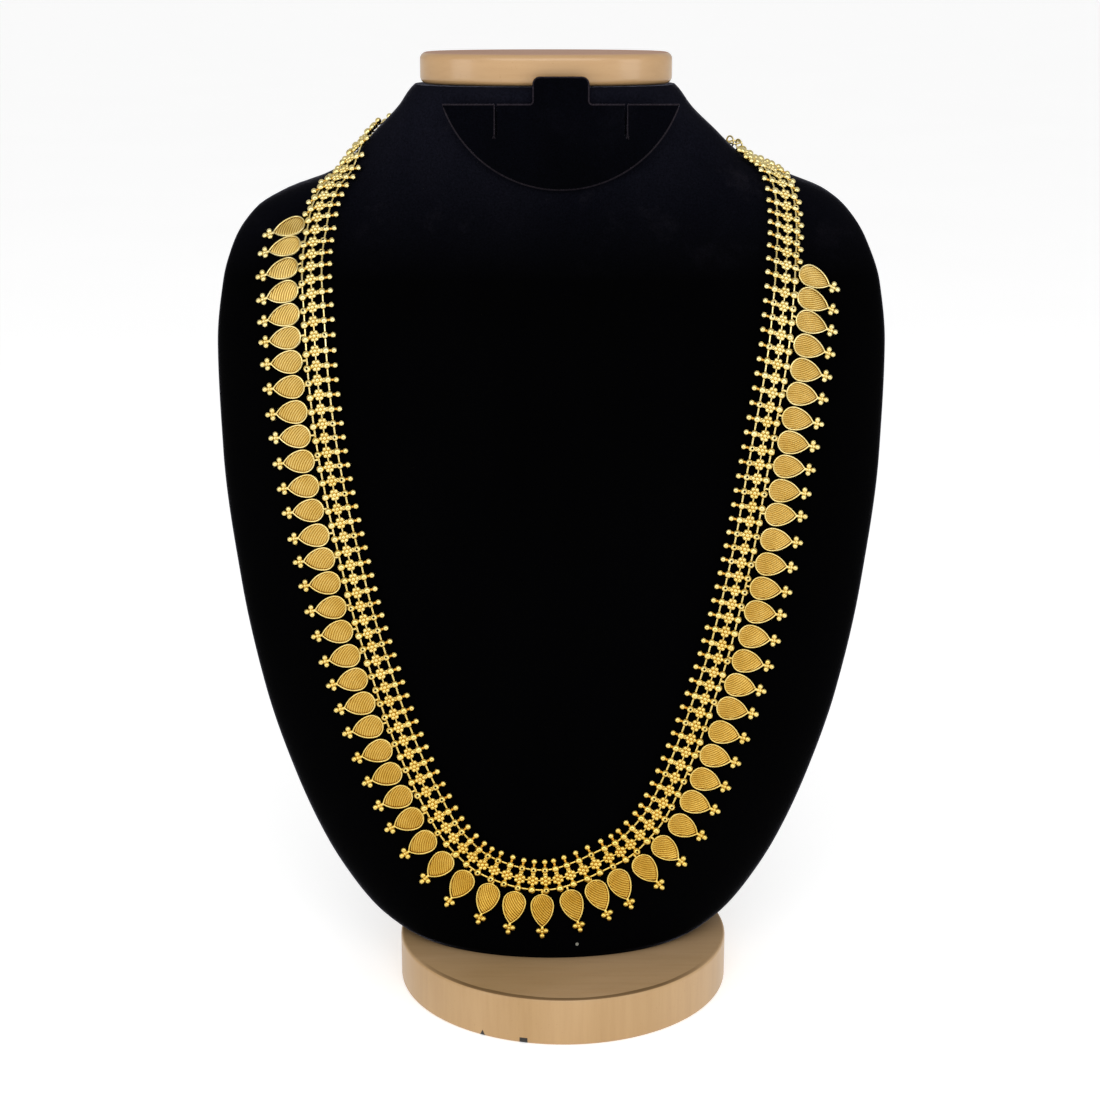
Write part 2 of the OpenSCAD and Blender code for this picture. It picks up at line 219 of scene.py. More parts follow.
def woodMaterial(name, look):
    material, shader = startMaterial(name, {
        "Coat Weight": look["varnish"], "Coat Roughness": look["gloss"], "Specular IOR Level": look["shine"]})
    where = objectPlace(material)
    clouds = addNoise(material, where, 1, 2, 0.5, look["clouds"])
    colour = addRamp(material, clouds, [(0.32, look["dark"]), (0.68, look["light"])])
    streaks = addNoise(material, where, 1, 4, 0.6, look["grain"])
    colour = addMix(material, look["grainShare"], colour,
                    addRamp(material, streaks, [(0.3, (0.7, 0.6, 0.5)), (0.6, (1, 1, 1))]), "MULTIPLY")
    pores = addNoise(material, where, 1400, 2, 0.5)
    pitted = addRamp(material, pores, [(0.66, (1, 1, 1)), (0.76, (0.7, 0.6, 0.5))])
    colour = addMix(material, 0.4, colour, pitted, "MULTIPLY")
    speck = addSpots(material, where, look["speckScale"], look["speckSize"])
    colour = addMix(material, speck, colour, look["speck"])
    axes = addNode(material, "ShaderNodeSeparateXYZ", {"Vector": where}).outputs
    if "line" in look:  # dark line along the front edge of the top
        flat = addNode(material, "ShaderNodeCombineXYZ", {"X": axes["X"], "Y": axes["Y"]}).outputs["Vector"]
        reach = addNode(material, "ShaderNodeVectorMath", {0: flat}, operation="LENGTH").outputs["Value"]
        uneven = addMath(material, "MULTIPLY_ADD", addNoise(material, where, 60, 2), 0.0012)
        uneven.node.inputs[2].default_value = (look["line"] - 0.6) * mm
        worn = addMath(material, "GREATER_THAN", reach, uneven)
        front = addSpan(material, axes["Y"], -0.03, -0.05, 0, 0.85)
        colour = addMix(material, addMath(material, "MULTIPLY", worn, front), colour, look["lineTone"])
    for x, halfWidth, height, slope in look["marks"]:  # dark chips at the bottom rim
        away = addMath(material, "ABSOLUTE", addMath(material, "SUBTRACT", axes["X"], x * mm))
        top = addMath(material, "MULTIPLY_ADD", away, -slope)
        top.node.inputs[2].default_value = height * mm
        inside = addMath(material, "MULTIPLY", addMath(material, "LESS_THAN", away, halfWidth * mm),
                         addMath(material, "LESS_THAN", axes["Z"], top))
        inside = addMath(material, "MULTIPLY", inside, addMath(material, "LESS_THAN", axes["Y"], 0.0))
        colour = addMix(material, inside, colour, look["markTone"])
    feed(material, colour, shader, "Base Color")
    rough = addSpan(material, streaks, 0, 1, look["rough"], look["rough"] + 0.12)
    feed(material, rough, shader, "Roughness")
    addBump(material, shader, streaks, look["bump"], 0.00015)
    return material


def goldMaterial(name, look):
    material, shader = startMaterial(name, {"Metallic": 1.0, "Specular Tint": (1, 0.93, 0.7, 1)})
    where = objectPlace(material)
    patches = addNoise(material, where, 180, 3, 0.6)
    colour = addRamp(material, patches, [(0.3, look["deep"]), (0.7, look["bright"])])
    height = addNode(material, "ShaderNodeSeparateXYZ", {"Vector": where}).outputs["Z"]
    paintedLightByHeight = addSpan(material, height, look["paintedShadeFrom"] * mm, look["paintedShadeTo"] * mm)
    paintedShade = addRamp(material, paintedLightByHeight, [(0, look["low"]), (1, (1, 1, 1))])  # painted shade: the lower half is deeper
    colour = addMix(material, 1.0, colour, paintedShade, "MULTIPLY")
    feed(material, colour, shader, "Base Color")
    grain = addNoise(material, where, look["grainScale"], 2, 0.6)
    rough = addSpan(material, grain, 0, 1, *look["rough"])
    feed(material, rough, shader, "Roughness")
    addBump(material, shader, grain, look["bump"], 0.00006)
    return material


def makeFloor():
    reach = 60  # metres
    mesh = bpy.data.meshes.new("floor")
    corners = [(-reach, -reach, 0), (reach, -reach, 0), (reach, reach, 0), (-reach, reach, 0)]
    mesh.from_pydata(corners, [], [(0, 1, 2, 3)])
    floor = bpy.data.objects.new("floor", mesh)
    bpy.context.collection.objects.link(floor)
    material, shader = startMaterial("palePaper", {
        "Roughness": 0.8, "Specular IOR Level": 0.2,
        "Emission Color": (1, 1, 1, 1), "Emission Strength": studioLook["glow"]})
    tone = addNoise(material, objectPlace(material), 3, 3)
    low = [v * 0.98 for v in studioLook["floor"][:3]]
    feed(material, addRamp(material, tone, [(0.3, low), (0.7, studioLook["floor"])]), shader, "Base Color")
    mesh.materials.append(material)


# Mesh helpers. A form is its points, quads, triangles and the number of each face's finish.

def form(points, quads=(), triangles=(), finish=0):
    quads = np.asarray(quads, int).reshape(-1, 4)
    triangles = np.asarray(triangles, int).reshape(-1, 3)
    return {"points": np.asarray(points, float).reshape(-1, 3), "quads": quads, "triangles": triangles,
            "quadFinish": np.full(len(quads), finish), "triangleFinish": np.full(len(triangles), finish)}


def joined(forms):
    starts = np.cumsum([0] + [len(f["points"]) for f in forms])
    both = {"points": np.concatenate([f["points"] for f in forms])}
    for kind in ("quads", "triangles"):
        both[kind] = np.concatenate([f[kind] + start for f, start in zip(forms, starts)])
    for kind in ("quadFinish", "triangleFinish"):
        both[kind] = np.concatenate([f[kind] for f in forms])
    return both


def shaped(f, size=1.0, move=(0, 0, 0)):
    return {**f, "points": f["points"] * size + np.array(move)}


def placed(f, frames, at=(0, 0, 0), size=1.0):
    origins, xs, ys, zs = frames
    count = len(origins)
    at = np.broadcast_to(np.asarray(at, float), (count, 3))
    size = np.broadcast_to(np.asarray(size, float), (count,))
    local = f["points"][None] * size[:, None, None] + at[:, None]
    points = (origins[:, None] + local[..., :1] * xs[:, None] + local[..., 1:2] * ys[:, None]
              + local[..., 2:] * zs[:, None])
    step = (np.arange(count) * len(f["points"]))[:, None, None]
    return {"points": points.reshape(-1, 3),
            "quads": (f["quads"][None] + step).reshape(-1, 4),
            "triangles": (f["triangles"][None] + step).reshape(-1, 3),
            "quadFinish": np.tile(f["quadFinish"], count),
            "triangleFinish": np.tile(f["triangleFinish"], count)}


def makePiece(name, f, materials, nodes=(), sharp=None):
    mesh = bpy.data.meshes.new(name)
    mesh.from_pydata((f["points"] * mm).tolist(), [], f["quads"].tolist() + f["triangles"].tolist())
    mesh.polygons.foreach_set("use_smooth", np.ones(len(mesh.polygons), bool))
    finishes = np.concatenate([f["quadFinish"], f["triangleFinish"]]).astype(np.int32)
    mesh.polygons.foreach_set("material_index", finishes)
    for material in materials:
        mesh.materials.append(material)
    mesh.update()
    if sharp:
        mesh.set_sharp_from_angle(angle=math.radians(sharp))
    piece = bpy.data.objects.new(name, mesh)
    bpy.context.collection.objects.link(piece)
    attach(piece, "root")
    if nodes:
        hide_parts(*nodes)
    print(f"  {name}: {len(f['quads']) * 2 + len(f['triangles'])} triangles")


def ball(cuts):
    steps = np.tan(np.linspace(-1, 1, cuts + 1) * math.pi / 4)
    a, b = (v.ravel() for v in np.meshgrid(steps, steps, indexing="ij"))
    points, quads = [], []
    i, j = (v.ravel() for v in np.meshgrid(np.arange(cuts), np.arange(cuts), indexing="ij"))
    corner = i * (cuts + 1) + j
    one = np.c_[corner, corner + cuts + 1, corner + cuts + 2, corner + 1]
    for axis in range(3):
        for side in (-1, 1):
            n, u = np.zeros(3), np.zeros(3)
            n[axis], u[(axis + 1) % 3] = side, 1
            v = np.cross(n, u)
            quads.append(one + len(points) * (cuts + 1) ** 2)
            points.append(n + a[:, None] * u + b[:, None] * v)
    points = np.concatenate(points)
    points /= np.linalg.norm(points, axis=1, keepdims=True)
    _, first, back = np.unique(np.round(points, 6), axis=0, return_index=True, return_inverse=True)
    return form(points[first], back.ravel()[np.concatenate(quads)])


def turned(profile, turns, finish=0):
    profile = np.asarray(profile, float)
    angles = np.arange(turns) * 2 * math.pi / turns
    body = profile[(profile[:, 0] > 1e-6)]
    points = np.stack([body[:, None, 0] * np.cos(angles), body[:, None, 0] * np.sin(angles),
                       np.broadcast_to(body[:, None, 1], (len(body), turns))], -1).reshape(-1, 3)
    i, j = (v.ravel() for v in np.meshgrid(np.arange(len(body) - 1), np.arange(turns), indexing="ij"))
    k = (j + 1) % turns
    quads = np.c_[i * turns + j, i * turns + k, (i + 1) * turns + k, (i + 1) * turns + j]
    triangles = []
    ring, after = np.arange(turns), (np.arange(turns) + 1) % turns
    if profile[0, 0] < 1e-6:
        triangles.append(np.c_[np.full(turns, len(points)), after, ring])
        points = np.vstack([points, [0, 0, profile[0, 1]]])
    if profile[-1, 0] < 1e-6:
        top = (len(body) - 1) * turns
        triangles.append(np.c_[np.full(turns, len(points)), top + ring, top + after])
        points = np.vstack([points, [0, 0, profile[-1, 1]]])
    return form(points, quads, np.concatenate(triangles) if triangles else (), finish)


def unit(v):
    return v / np.linalg.norm(v, axis=-1, keepdims=True)


def wire(path, radius, sides=8, loop=False, finish=0):
    path = np.asarray(path, float)
    count = len(path)
    ahead = unit(np.roll(path, -1, 0) - np.roll(path, 1, 0)) if loop else unit(np.gradient(path, axis=0))
    side = np.array([0.0, 0.0, 1.0])
    sidesAt = []
    for way in ahead:
        side = side - way * (side @ way)
        if np.linalg.norm(side) < 1e-6:
            side = np.cross(way, (1, 0, 0) if abs(way[0]) < 0.9 else (0, 1, 0))
        side = side / np.linalg.norm(side)
        sidesAt.append(side)
    u = np.array(sidesAt)
    v = np.cross(ahead, u)
    angles = np.arange(sides) * 2 * math.pi / sides
    radius = np.broadcast_to(np.asarray(radius, float), (count,))
    points = (path[:, None] + radius[:, None, None] * (np.cos(angles)[None, :, None] * u[:, None]
              + np.sin(angles)[None, :, None] * v[:, None])).reshape(-1, 3)
    spans = count if loop else count - 1
    i, j = (w.ravel() for w in np.meshgrid(np.arange(spans), np.arange(sides), indexing="ij"))
    k, n = (j + 1) % sides, (i + 1) % count
    quads = np.c_[i * sides + j, i * sides + k, n * sides + k, n * sides + j]
    triangles = ()
    if not loop:
        ring, after = np.arange(sides), (np.arange(sides) + 1) % sides
        last = (count - 1) * sides
        triangles = np.concatenate([np.c_[np.full(sides, count * sides), after, ring],
                                    np.c_[np.full(sides, count * sides + 1), last + ring, last + after]])
        points = np.vstack([points, path[0], path[-1]])
    return form(points, quads, triangles, finish)


def stacked(rings, finish=0, caps=(True, True)):
    rings = np.asarray(rings, float)
    rows, turns = rings.shape[:2]
    points = rings.reshape(-1, 3)
    i, j = (v.ravel() for v in np.meshgrid(np.arange(rows - 1), np.arange(turns), indexing="ij"))
    k = (j + 1) % turns
    quads = np.c_[i * turns + j, i * turns + k, (i + 1) * turns + k, (i + 1) * turns + j]
    ring, after = np.arange(turns), (np.arange(turns) + 1) % turns
    triangles = []
    if caps[0]:
        triangles.append(np.c_[np.full(turns, len(points)), after, ring])
        points = np.vstack([points, rings[0].mean(0)])
    if caps[1]:
        top = (rows - 1) * turns
        triangles.append(np.c_[np.full(turns, len(points)), top + ring, top + after])
        points = np.vstack([points, rings[-1].mean(0)])
    return form(points, quads, np.concatenate(triangles) if triangles else (), finish)


# Bust surface. Each row of the table is a rounded oval: height, half width, centre x,
# centre y, depth to the front, depth to the back and squareness.
bustRows = np.array([
    [18.15, 57, -4.5, 7.2, 35.5, 32, 2], [21.5, 62.5, -4.5, 7.7, 38, 34.2, 2],
    [27, 69.5, -4.5, 9, 38.5, 35, 2.05], [37, 78, -4.5, 11.3, 39.3, 36, 2.1],
    [52, 87.4, -4.5, 13.5, 38.5, 38, 2.2], [76, 98.2, -4.5, 16.1, 37, 41, 2.3],
    [110, 109.7, -4.5, 20.9, 35.5, 43, 2.4], [150, 118.5, -4.5, 27.5, 34, 43, 2.4],
    [200, 124.6, -4.5, 34, 32.5, 41, 2.4], [240, 125.8, -4.5, 39, 29.5, 37, 2.4],
    [261.8, 124, -4.5, 45.5, 26.5, 33, 2.4], [277.3, 119.7, -4.8, 55, 25.5, 26.5, 2.35],
    [287.9, 112.8, -4.5, 64.5, 28, 20.5, 2.3], [294.7, 102.5, -3, 70.5, 32, 17, 2.25],
    [299.7, 88.9, -2.3, 73.5, 34.8, 15.5, 2.25], [306.1, 75.8, -5.8, 72.5, 33.6, 17.5, 2.3],
    [317.7, 63.6, -6.6, 68, 28.8, 23.5, 2.4], [326, 55.3, -6.9, 66, 26.7, 26, 2.5],
    [332, 51, -7, 66, 26.6, 26, 2.5], [333.8, 49.2, -7, 66, 25, 24.4, 2.5]])
rowHeights = bustRows[:, 0]
lastRow = len(bustRows) - 1
rises = np.diff(bustRows, axis=0) / np.diff(rowHeights)[:, None]
meets = rises[:-1] * rises[1:]
gentle = np.where(meets <= 0, 0, 2 * meets / np.where(meets <= 0, 1, rises[:-1] + rises[1:]))
rowSlopes = np.vstack([rises[:1], gentle, rises[-1:]])


def section(z):
    u = np.interp(z, rowHeights, np.arange(lastRow + 1))
    i = np.minimum(np.floor(u).astype(int), lastRow - 1)
    t = (u - i)[..., None]
    step = (rowHeights[i + 1] - rowHeights[i])[..., None]
    return ((2 * t**3 - 3 * t**2 + 1) * bustRows[i] + (t**3 - 2 * t**2 + t) * step * rowSlopes[i]
            + (3 * t**2 - 2 * t**3) * bustRows[i + 1] + (t**3 - t**2) * step * rowSlopes[i + 1])


def fill(p):
    s = section(p[..., 2])
    depth = np.where(p[..., 1] < s[..., 3], s[..., 4], s[..., 5])
    n = s[..., 6]
    across, deep = np.abs((p[..., 0] - s[..., 2]) / s[..., 1]), np.abs((p[..., 1] - s[..., 3]) / depth)
    return (across**n + deep**n) ** (1 / n)


def steepest(p, d=0.02):
    return np.stack([(fill(p + d * e) - fill(p - d * e)) / (2 * d) for e in np.eye(3)], -1)


def dot(a, b):
    return np.sum(a * b, -1, keepdims=True)


def onBust(p):
    for _ in range(3):
        g = steepest(p)
        p = p - g * (fill(p) - 1)[..., None] / dot(g, g)
    return p


# Lines along the surface. A way holds its points, the length up to each, and its whole length.

def curved(line, steps):
    line = np.asarray(line, float)
    count = len(line)
    out = []
    for i in range(count - 1):
        a, b, c, d = (line[min(max(j, 0), count - 1)] for j in (i - 1, i, i + 1, i + 2))
        for k in range(steps):
            t = k / steps
            out.append(b + t / 2 * (c - a + t * (2 * a - 5 * b + 4 * c - d + t * (3 * b - a - 3 * c + d))))
    out.append(line[-1])
    return np.array(out)


def makeWay(line, steps=8):
    points = onBust(curved(line, steps))
    marks = np.concatenate([[0], np.cumsum(np.linalg.norm(np.diff(points, axis=0), axis=1))])
    return {"points": points, "marks": marks, "length": marks[-1]}


def spot(way, s):
    return np.stack([np.interp(s, way["marks"], way["points"][:, k]) for k in range(3)], -1)


def aheadAt(way, s, reach=3):
    return unit(spot(way, s + reach) - spot(way, s - reach))


band = {  # the band's numbers, as the part's source has them
    "bars": 129, "plain": 12, "drops": 61, "innerDome": 3.1, "flower": 7.15, "outerDome": 10.65,
    "outerBall": (12.9, 1.9), "lift": 1.6, "bow": 0.8, "bowFrom": 125, "bowTo": 200,
    "hang": [(0, 8), (25, 14), (60, 15), (80, 9), (140, 0)],  # length from the end, degrees
}
leaf = {
    "fromDome": 5.75, "tip": 8.4, "width": 8.5, "trefoilEnd": 3.2, "lift": 1.1, "sway": 0.8,
    "hang": [(0, 30), (60, 19), (80, 12), (110, 2), (150, -3), (220, -4), (300, 0)],
}

outerRow = makeWay([
    [-64, 83, 308], [-69, 76.5, 308.5], [-75.5, 72.5, 309], [-79, 66, 305.5],
    [-85, 60, 301.5], [-91, 52, 294.5], [-94, 45.5, 288], [-95, 40, 282], [-96, 34.5, 273.5],
    [-96, 28, 264.5], [-94.5, 18.5, 246.5], [-93, 13, 227], [-90.5, 9, 206.5],
    [-87, 5, 186], [-82.5, 1.5, 165.5], [-77.5, -2.5, 144.5], [-71.5, -7, 125],
    [-65, -11.5, 105.5], [-57, -15.5, 86], [-47.5, -19.5, 67.5], [-41, -21.5, 59], [-33, -23.5, 52],
    [-24, -25, 48], [-14, -26, 45.5], [-3.5, -26.5, 45.5], [6.5, -25.5, 48.5],
    [15.5, -24, 52.5], [24.5, -22.5, 57], [32, -21, 64], [38.5, -19, 72.5],
    [47.5, -15, 92], [54.5, -11, 111], [61, -6, 131], [66, -2, 151], [70.5, 2, 172],
    [74, 5.5, 193], [77.5, 9, 213], [81, 13.5, 233], [83.5, 20, 251.5], [85.5, 30.5, 270],
    [86.5, 38.5, 279.5], [86.5, 45.5, 287], [85, 53.5, 294], [81.5, 62.5, 299], [76.5, 68, 303],
    [71, 71, 306.5]])


def hangAt(s, table):
    lengths, angles = np.array(table, float).T
    left = np.interp(s, lengths, angles)
    right = np.interp(outerRow["length"] - s, lengths, angles)
    return np.where(s < outerRow["length"] / 2, left, -right)


def bowAt(s):
    return band["bow"] * np.clip((band["bowTo"] - s) / (band["bowTo"] - band["bowFrom"]), 0, 1)


def lying(s, a, b, origin, lift, turn):
    s = np.asarray(s, float)
    root = spot(outerRow, s)
    off = unit(steepest(root))
    side = unit(np.cross(aheadAt(outerRow, s), off))
    turn = np.radians(turn)[..., None]
    out = side * np.cos(turn) + np.cross(off, side) * np.sin(turn)
    a, b, origin = (np.broadcast_to(np.asarray(v, float), s.shape)[..., None] for v in (a, b, origin))
    start, end = onBust(root + a * out), onBust(root + b * out)
    middle = (start + end) / 2
    along = unit(end - start)
    up = unit(steepest(middle))
    below = 0
    for t in (0.35, 0.5, 0.65):  # a bar over a hollow or a swell rises until it is clear
        within = start + t * (end - start)
        below = np.maximum(below, (1 - fill(within)) / np.linalg.norm(steepest(within), axis=-1))
    place = start + (origin - a) * along + (lift + below)[..., None] * up
    z = unit(up - along * dot(along, up))
    return place, along, np.cross(z, along), z


def picked(frames, mask):
    return tuple(v[mask] for v in frames)


barNumbers = np.arange(band["bars"])
barS = barNumbers * outerRow["length"] / (band["bars"] - 1)
isPlain = (barNumbers < band["plain"]) | (barNumbers > band["bars"] - 1 - band["plain"])
barFrames = lying(barS, -band["outerDome"], np.where(isPlain, band["outerBall"][0] - band["outerDome"], 0),
                  -band["outerDome"], band["lift"], hangAt(barS, band["hang"]))
down = np.where(barS < outerRow["length"] / 2, 1, -1)  # the side of a bar's y axis that hangs
bow = down * bowAt(barS)
dropNumbers = np.arange(band["drops"])
dropS = ((band["plain"] + dropNumbers * (band["bars"] - 1 - 2 * band["plain"]) / (band["drops"] - 1))
         * outerRow["length"] / (band["bars"] - 1))
dropTurns = hangAt(dropS, leaf["hang"]) + leaf["sway"] * np.sin(np.radians(137 * dropNumbers**2))
dropEnd = leaf["fromDome"] + leaf["tip"] + leaf["trefoilEnd"]
dropFrames = lying(dropS, leaf["fromDome"], dropEnd, leaf["fromDome"], leaf["lift"], dropTurns)

makeCamera()
makeLights()
makeFloor()

print("stand")

velvetLook = {
    "pile": (0.0001, 0.0001, 0.0002), "worn": (0.0005, 0.0005, 0.0008),
    # The neck tones are painted sheen on the upper part of the velvet.
    "neck": (0.0036, 0.004, 0.008), "neckWornAndSheen": (0.008, 0.008, 0.0135), "paintedSheenFrom": 265, "paintedSheenTo": 325,
    # The dust patches are partly painted sheen.
    "dustAndSheen": (0.018, 0.016, 0.022, 1), "sheen": 0.4, "sheenRough": 0.15, "sheenTint": (0.6, 0.6, 0.75, 1),
    "lintScale": 45, "lintSize": 0.01, "lint": (0.04, 0.04, 0.04, 1),
    "fluff": [((5.1, -29.5, 24.3), 0.6)], "fluffTone": (0.2, 0.2, 0.17, 1),
}
bustLook = {
    "turns": 240, "rows": 200,
    "creases": [  # places along a fold, its depth and half width
        ([[38, 40.5, 318], [50, 46.5, 311], [62, 51.5, 303]], 0.35, 2.2),
    ],
}
woodLook = {
    "light": (0.475, 0.305, 0.15), "dark": (0.405, 0.25, 0.108),
    "clouds": (26, 26, 7), "grain": (420, 420, 30), "grainShare": 0.22, "rough": 0.38, "bump": 0.15,
    "varnish": 0.25, "gloss": 0.2, "shine": 0.3,
    "speckScale": 48, "speckSize": 0.014, "speck": (0.12, 0.07, 0.03, 1),
    "marks": [(-14.6, 1.45, 2.3, 0), (-29.6, 1, 2.5, 2.2)], "markTone": (0.012, 0.01, 0.008, 1),
}
# The top of the base is a darker, duller copy of its wood: painted shade under the overhanging bust and
# painted reflection of the black velvet.
shadedTopLook = {
    **woodLook, "light": (0.41, 0.27, 0.145), "dark": (0.34, 0.22, 0.105),
    "clouds": (14, 30, 14), "grain": (40, 520, 520),
    "varnish": 0, "shine": 0.15, "rough": 0.5, "marks": [], "line": 60.4, "lineTone": (0.13, 0.075, 0.032, 1),
}
capLook = {
    **woodLook, "light": (0.45, 0.28, 0.135), "dark": (0.38, 0.225, 0.097),
    "clouds": (9, 20, 60), "grain": (24, 300, 700), "grainShare": 0.15, "rough": 0.34, "bump": 0.08,
    "varnish": 0.5, "gloss": 0.16, "speckScale": 60, "marks": [],
}
capTopLook = {
    **capLook, "light": (0.46, 0.29, 0.21), "dark": (0.4, 0.245, 0.175),
    "varnish": 0, "shine": 0.05, "rough": 0.6,
}
baseLook = {"d": 125, "h": 18, "round": 1.2, "turns": 192}
postLook = {"r": 7, "place": (-4.5, 4.5), "below": 11, "above": 26, "edge": 1.5, "tip": 5.6, "turns": 48}
neckCapLook = {
    "w": 95.2, "depth": 49.6, "h": 11.6, "round": 2.6, "place": (-6.5, 66.3),
    "square": 2.3, "turns": 160,
}
gap = 0.15  # between pieces that rest on each other
bustTop = bustRows[-1, 0]


def ovalAt(s, z, turns, inset=0.0):
    a = np.arange(turns) * 2 * math.pi / turns
    power = 2 / s[6]
    depth = np.where(np.sin(a) < 0, s[4], s[5])
    return np.stack([s[2] + (s[1] - inset) * np.sign(np.cos(a)) * np.abs(np.cos(a)) ** power,
                     s[3] + (depth - inset) * np.sign(np.sin(a)) * np.abs(np.sin(a)) ** power,
                     np.full(turns, z)], -1)


def evenOval(s, z, turns, inset=0.0):
    fine = ovalAt(s, z, 2400, inset)
    loop = np.vstack([fine, fine[:1]])
    marks = np.concatenate([[0], np.cumsum(np.linalg.norm(np.diff(loop, axis=0), axis=1))])
    where = np.arange(turns) * marks[-1] / turns
    return np.stack([np.interp(where, marks, loop[:, k]) for k in range(3)], -1)


def makeBust():
    shares, knots = [0, 0.06, 0.72, 1], [bustRows[0, 0], 24, 250, bustTop]  # closer rows at both ends
    heights = np.interp(np.linspace(0, 1, bustLook["rows"]), shares, knots)
    rings = [evenOval(section(np.array(z)), z, bustLook["turns"]) for z in heights]
    low, high = rings[0], rings[-1]
    footDepth, topDepth = 36, 26  # from the middle of each end to its edge
    for inset in (0.4, 4, 12):  # flat ends, closed towards the middle
        rings.insert(0, np.c_[low[:, :2] + (low.mean(0)[:2] - low[:, :2]) * inset / footDepth, low[:, 2]])
        rings.append(np.c_[high[:, :2] + (high.mean(0)[:2] - high[:, :2]) * inset / topDepth, high[:, 2]])
    bust = stacked(rings)
    points = bust["points"]
    off = unit(steepest(np.clip(points, None, [1e9, 1e9, bustTop - 0.05])))
    for line, depth, width in bustLook["creases"]:
        fold = onBust(curved(line, 12))
        away = np.min(np.linalg.norm(points[:, None] - fold[None], axis=2), axis=1)
        points -= off * (depth * np.exp(-(away / width) ** 2))[:, None]
    makePiece("bustVelvet", bust, [velvet], ["bust_body"], sharp=40)


def roundedSides(h, edge, steps=8):
    bend = np.linspace(0, math.pi / 2, steps)
    low = [(edge * (1 - math.sin(a)), edge * (1 - math.cos(a))) for a in bend]
    high = [(edge * (1 - math.cos(a)), h - edge * (1 - math.sin(a))) for a in bend]
    return low + high


def topped(f, top, depth=0.3):
    for kind in ("quads", "triangles"):
        onTop = f["points"][f[kind]][:, :, 2].mean(1) > top - depth
        f[kind[:-1] + "Finish"][onTop] = 1
    return f


def makeCap():
    c = neckCapLook
    plan = [0, c["w"] / 2, *c["place"], c["depth"] / 2, c["depth"] / 2, c["square"]]
    low = bustTop + gap
    high, turns = low + c["h"], c["turns"]
    rings = [evenOval(plan, low + z, turns, inset) for inset, z in roundedSides(c["h"], c["round"])]
    for inset in (8, 16):
        rings.insert(0, evenOval(plan, low, turns, inset))
        rings.append(evenOval(plan, high, turns, inset))
    woods = [woodMaterial("capWood", capLook), woodMaterial("capTop", capTopLook)]
    makePiece("neckCap", topped(stacked(rings), high), woods, ["neck_cap"])


def makeBase():
    r, h, edge = baseLook["d"] / 2, baseLook["h"], baseLook["round"]
    profile = [(0, 0), (r * 0.4, 0), (r * 0.8, 0)]
    profile += [(r - inset, z) for inset, z in roundedSides(h, edge)]
    profile += [(r * 0.85, h), (r * 0.6, h), (r * 0.3, h), (0, h)]
    side = woodMaterial("baseWood", woodLook)
    # The top faces take the second finish, the darker copy of painted shade.
    disc = topped(turned(profile, baseLook["turns"]), h)
    makePiece("baseDisc", disc, [side, woodMaterial("baseTopPaintedShade", shadedTopLook)], ["base_disc"])
    p = postLook
    low, high = h - p["below"] + gap, h + p["above"]
    dowel = turned([(0, low), (p["tip"], low), (p["r"], low + p["edge"]),
                    (p["r"], high - p["edge"]), (p["tip"], high), (0, high)], p["turns"])
    makePiece("basePost", shaped(dowel, 1, (*p["place"], 0)), [side], ["base_post"], sharp=35)


velvet = velvetMaterial("bustVelvet", velvetLook)
makeBust()
makeCap()
makeBase()

cardLook = {
    "w": 87, "h": 31, "t": 1.8, "tabW": 20.4, "tabH": 9.8, "slit": 11, "slitX": 24,
    "footZ": 299, "headZ": 331, "neckX": -1, "moonTop": 327.7, "piping": 0.32, "edge": 0.35,
    "moonSteps": 61, "slitHalf": 0.5, "fillet": 1.4, "tabRound": 2.5,
    "threads": 7, "thread": 0.09,
}
# Card cloth and piping set their own neck tones, the colours of the painted sheen band in which the card
# lies.
clothLook = {
    **velvetLook, "neck": (0.0008, 0.0009, 0.0018), "neckWornAndSheen": (0.002, 0.0022, 0.0045),
    "dustAndSheen": (0.003, 0.003, 0.005, 1),
}
pipingLook = {**velvetLook, "neck": (0.016, 0.013, 0.018), "neckWornAndSheen": (0.034, 0.028, 0.034)}


def cardOutline():
    c = cardLook
    r = ((c["w"] / 2) ** 2 + c["h"] ** 2) / c["h"] / 2
    half = math.acos((r - c["h"]) / r)
    a = np.linspace(-half, half, c["moonSteps"])
    moon = np.c_[r * np.sin(a), r - c["h"] - r * np.cos(a)]
    x, wide, inner, edge = c["slitX"], c["slitHalf"], c["fillet"], c["tabRound"]
    right = [(x + wide, 0), (x + wide, -c["slit"]), (x - wide, -c["slit"]), (x - wide, 0)]
    corner = c["tabW"] / 2 + inner
    right += [(corner - inner * math.sin(t), inner - inner * math.cos(t))
              for t in np.linspace(0, math.pi / 2, 6)]
    right += [(c["tabW"] / 2 - edge + edge * math.cos(t), c["tabH"] - edge + edge * math.sin(t))
              for t in np.linspace(0, math.pi / 2, 7)]
    left = [(-px, py) for px, py in reversed(right)]
    return np.vstack([moon, right, left])


def cardFrame():
    c = cardLook
    ends = ((26.5, c["footZ"]), (36.5, c["headZ"]))  # near the front of the neck
    foot, head = (onBust(np.array([c["neckX"], y, z], float)) for y, z in ends)
    lean = math.atan((head[1] - foot[1]) / (head[2] - foot[2]))
    up = np.array([0, math.sin(lean), math.cos(lean)])
    out = np.array([0, -math.cos(lean), math.sin(lean)])
    rise = (c["moonTop"] - c["footZ"]) / math.cos(lean)
    start = np.array([c["neckX"], foot[1] - gap, c["footZ"]]) + up * rise
    return start[None], np.array([[1.0, 0, 0]]), up[None], out[None]


